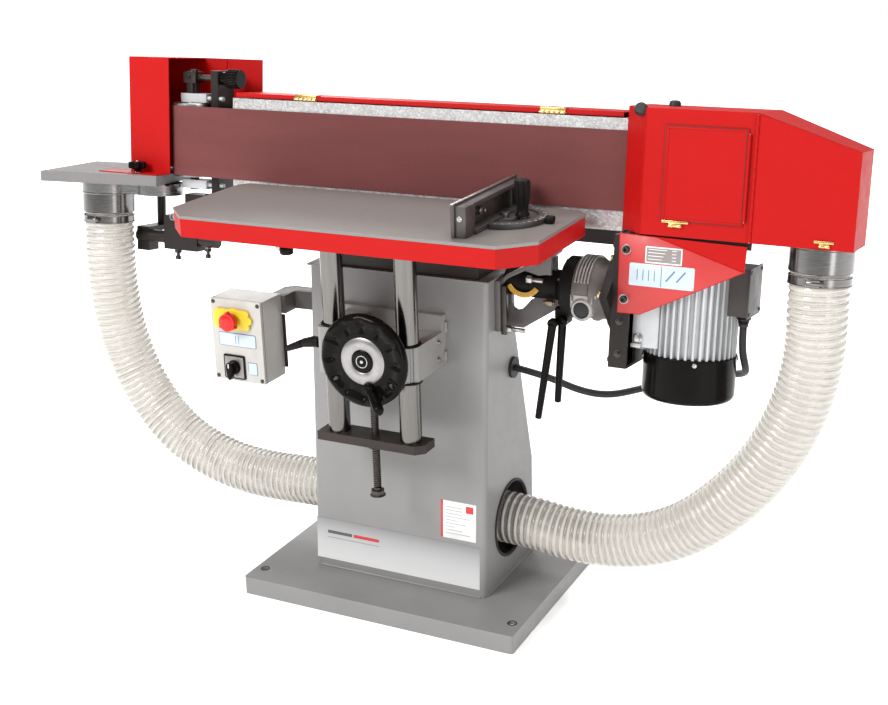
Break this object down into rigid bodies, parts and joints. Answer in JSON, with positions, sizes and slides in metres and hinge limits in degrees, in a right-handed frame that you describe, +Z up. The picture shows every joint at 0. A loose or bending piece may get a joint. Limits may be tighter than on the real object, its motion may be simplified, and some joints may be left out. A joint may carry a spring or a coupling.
{
  "type": "edge sander",
  "caption": "Pedestal edge sander: red-guarded abrasive belt on a tilting head, lifting table with mitre fence, end table, motor and two dust hoses.",
  "frame": {"origin": "centre of the base plate's underside, on the floor", "axes": "+X along the belt to the operator's right, +Y from the operator towards the machine's rear, +Z up"},
  "size_m": [1.8106, 0.5929, 1.1005],
  "materials": {
    "machine_grey": "light grey hammered paint",
    "guard_red": "bright red gloss paint",
    "galvanised_steel": "zinc plated sheet",
    "bright_steel": "polished",
    "black_steel": "black satin paint",
    "cast_grey": "dark grey casting",
    "motor_alloy": "silver painted ribbed casting",
    "black_plastic": "glossy black plastic",
    "red_plastic": "red moulded plastic",
    "box_grey": "pale grey moulded plastic",
    "abrasive_cloth": "brown abrasive cloth, matte",
    "clear_hose": "clear ribbed hose",
    "black_rubber": "black rubber",
    "dark_brown_paint": "dark brown paint",
    "table_grey": "ground table top",
    "brass": "brass leaf"
  },
  "bodies": {
    "stand": {"base_plate": "machine_grey", "column": "machine_grey", "suction_duct": "galvanised_steel", "rest_block": "dark_brown_paint", "cable_grommet": "black_rubber", "lift_bracket": "machine_grey", "control_box": "box_grey", "control_lid": "box_grey", "control_arm": "black_steel", "tilt_bracket": "machine_grey", "clamp_collar": "black_steel", "gearbox_housing": "cast_grey", "left_hose": "clear_hose", "right_hose": "clear_hose", "motor_cable": "black_rubber"},
    "lift": {"table_plate": "table_grey", "table_frame": "guard_red", "guide_tubes": "bright_steel", "yoke_plate": "dark_brown_paint", "mitre_pins": "bright_steel"},
    "lead_screw": {"lead_screw": "dark_brown_paint"},
    "handwheel": {"handwheel": "black_plastic", "wheel_shaft": "bright_steel"},
    "crank_grip": {"crank_grip": "black_plastic"},
    "lift_lock": {"lift_lock_lever": "black_plastic"},
    "mitre": {"mitre_head": "cast_grey"},
    "mitre_knob": {"mitre_knob": "black_plastic"},
    "stop_button": {"stop_button": "red_plastic"},
    "switch": {"switch_handle": "black_plastic"},
    "tilt_worm": {"worm_shaft": "bright_steel", "tilt_handwheel": "black_plastic"},
    "front_tilt_lever": {"front_tilt_lever": "black_plastic"},
    "rear_tilt_lever": {"rear_tilt_lever": "black_plastic"},
    "head": {"sanding_belt": "abrasive_cloth", "platen_beam": "galvanised_steel", "head_beam": "black_steel", "idler_plate": "black_steel", "left_table": "machine_grey", "dust_chute": "galvanised_steel", "support_arm": "black_steel", "support_bar": "black_steel", "end_guard": "guard_red", "hood_shell": "guard_red", "hinge_pins": "brass", "belt_cover": "guard_red", "mount_plate": "black_steel", "motor_body": "motor_alloy", "fan_cover": "black_plastic", "terminal_box": "black_plastic", "output_shaft": "bright_steel", "output_flange": "black_steel"},
    "carriage": {"idler_arms": "motor_alloy", "idler_shaft": "bright_steel"},
    "idler": {"idler_drum": "black_rubber"},
    "tracking_knob": {"tracking_knob": "black_plastic"},
    "drive": {"motor_rotor": "bright_steel", "drive_drum": "bright_steel"},
    "rear_cover": {"rear_cover": "guard_red"},
    "hood_door": {"hood_door": "guard_red"},
    "access_door": {"access_door": "guard_red"}
  },
  "joints": [
    {"name": "head_tilt", "type": "hinge", "parent": "stand", "child": "head", "pos_m": [0.39, -0.015, 0.696], "axis": [1, 0, 0], "range_deg": [-83, 7], "deforming": ["left_hose", "right_hose", "motor_cable"]},
    {"name": "table_lift", "type": "slide", "parent": "stand", "child": "lift", "axis": [0, 0, 1], "range_m": [-0.04, 0.09]},
    {"name": "lead_screw_turn", "type": "hinge", "parent": "stand", "child": "lead_screw", "pos_m": [0.006, -0.21, 0.5], "axis": [0, 0, 1], "range_deg": [-2881, 6481]},
    {"name": "handwheel_turn", "type": "hinge", "parent": "stand", "child": "handwheel", "pos_m": [0.0305, -0.26, 0.588], "axis": [0, 1, 0], "range_deg": [-5761, 12961]},
    {"name": "crank_grip_spin", "type": "hinge", "parent": "handwheel", "child": "crank_grip", "pos_m": [0.0415, -0.287, 0.533], "axis": [0.6709, -0.6337, -0.3852], "continuous": true},
    {"name": "lift_lock_turn", "type": "hinge", "parent": "stand", "child": "lift_lock", "pos_m": [-0.114, -0.21, 0.585], "axis": [1, 0, 0], "range_deg": [-35, 35]},
    {"name": "mitre_swivel", "type": "hinge", "parent": "lift", "child": "mitre", "pos_m": [0.268, -0.15, 0.856], "axis": [0, 0, 1], "range_deg": [-45, 45]},
    {"name": "mitre_knob_turn", "type": "hinge", "parent": "lift", "child": "mitre_knob", "pos_m": [0.303, -0.15, 0.88], "axis": [0, 0, 1], "range_deg": [-180, 180]},
    {"name": "stop_press", "type": "slide", "parent": "stand", "child": "stop_button", "axis": [0, 1, 0], "range_m": [0, 0.006], "stiffness_N_per_m": 1500},
    {"name": "switch_turn", "type": "hinge", "parent": "stand", "child": "switch", "pos_m": [-0.384, -0.13, 0.469], "axis": [0, 1, 0], "range_deg": [-60, 60]},
    {"name": "tilt_worm_turn", "type": "hinge", "parent": "stand", "child": "tilt_worm", "pos_m": [0.391, 0, 0.662], "axis": [0, 1, 0], "range_deg": [-2491, 211]},
    {"name": "front_tilt_lever_turn", "type": "hinge", "parent": "stand", "child": "front_tilt_lever", "pos_m": [0.331, -0.06, 0.636], "axis": [0, 1, 0], "range_deg": [-15, 15]},
    {"name": "rear_tilt_lever_turn", "type": "hinge", "parent": "stand", "child": "rear_tilt_lever", "pos_m": [0.345, -0.05, 0.636], "axis": [0, 1, 0], "range_deg": [-15, 15]},
    {"name": "belt_tension", "type": "slide", "parent": "head", "child": "carriage", "axis": [1, 0, 0], "range_m": [0, 0.01], "stiffness_N_per_m": 2000},
    {"name": "tracking_knob_turn", "type": "hinge", "parent": "head", "child": "tracking_knob", "pos_m": [-0.46, 0.06483, 1.05323], "axis": [1, 0, 0], "range_deg": [-1, 2401]},
    {"name": "drive_spin", "type": "hinge", "parent": "head", "child": "drive", "pos_m": [0.58, 0.04838, 0.91924], "axis": [0, 0.1219, 0.9925], "continuous": true},
    {"name": "idler_spin", "type": "hinge", "parent": "carriage", "child": "idler", "pos_m": [-0.57, 0.04838, 0.91924], "axis": [0, 0.1219, 0.9925], "continuous": true},
    {"name": "rear_cover_hinge", "type": "hinge", "parent": "head", "child": "rear_cover", "pos_m": [0, 0.02198, 1.02424], "axis": [1, 0, 0], "range_deg": [0, 95]},
    {"name": "hood_door_hinge", "type": "hinge", "parent": "head", "child": "hood_door", "pos_m": [0.703, -0.05622, 0.93712], "axis": [0, -0.1219, -0.9925], "range_deg": [0, 85]},
    {"name": "access_door_hinge", "type": "hinge", "parent": "head", "child": "access_door", "pos_m": [0.6905, -0.05652, 0.93716], "axis": [0, 0.1219, 0.9925], "range_deg": [0, 80]}
  ],
  "couplings": [
    {"joint": "lead_screw_turn", "follows": "table_lift", "rad_per_m": 1256.6},
    {"joint": "handwheel_turn", "follows": "table_lift", "rad_per_m": 2513.3},
    {"joint": "tilt_worm_turn", "follows": "head_tilt", "ratio": 30},
    {"joint": "tracking_knob_turn", "follows": "belt_tension", "rad_per_m": 4188.8},
    {"joint": "idler_spin", "follows": "drive_spin", "ratio": 1}
  ]
}
